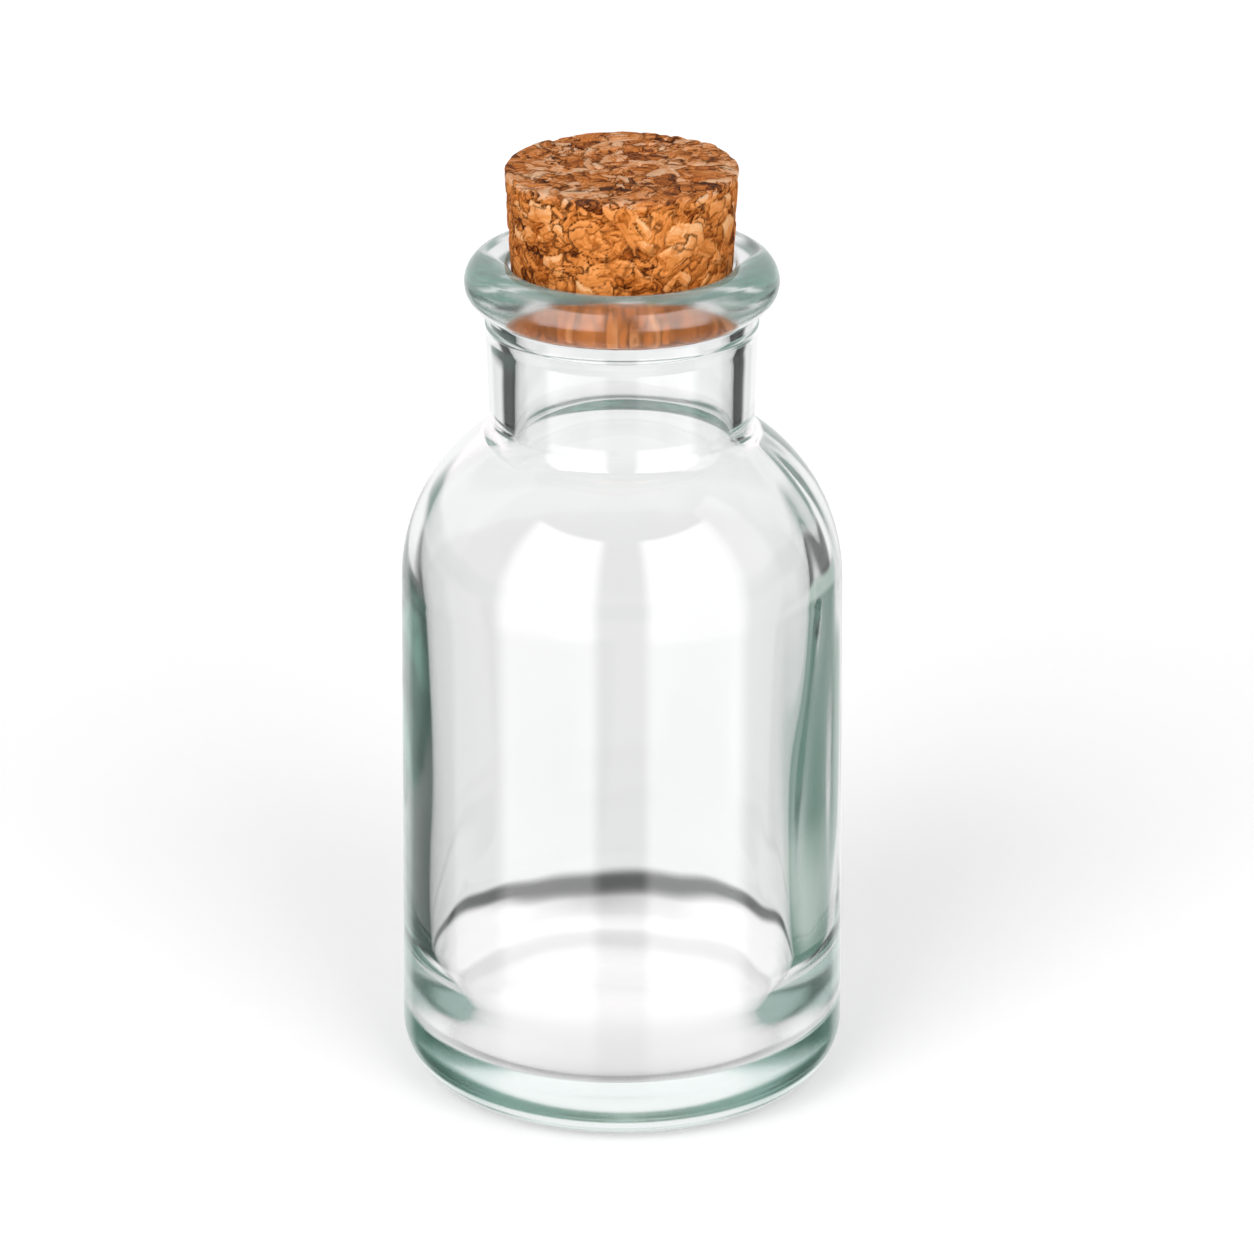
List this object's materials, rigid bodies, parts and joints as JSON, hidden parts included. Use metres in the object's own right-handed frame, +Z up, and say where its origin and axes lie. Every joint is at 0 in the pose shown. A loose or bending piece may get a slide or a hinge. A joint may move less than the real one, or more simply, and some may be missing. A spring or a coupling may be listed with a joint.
{
  "type": "corked glass bottle",
  "caption": "Small round bottle of thick clear glass with a rounded shoulder, short neck and beaded lip, closed by a tapered stopper of pressed cork granules that pulls out upwards.",
  "frame": {"origin": "on the bottle's axis, in the plane that its base stands on", "axes": "+Z up along the bottle's axis, through the neck and the cork; X and Y are level, and the bottle is round about +Z"},
  "size_m": [0.048, 0.048, 0.1034],
  "materials": {
    "clear_glass": "fire-polished, clear with a faint grey-green tint",
    "pressed_cork": "matte, coarse granules pressed and bound"
  },
  "bodies": {
    "bottle": {"glass_bottle": "clear_glass"},
    "stopper": {"cork_stopper": "pressed_cork"}
  },
  "joints": [
    {"name": "cork_pull", "type": "slide", "parent": "bottle", "child": "stopper", "axis": [0, 0, 1], "range_m": [0, 0.03]}
  ]
}
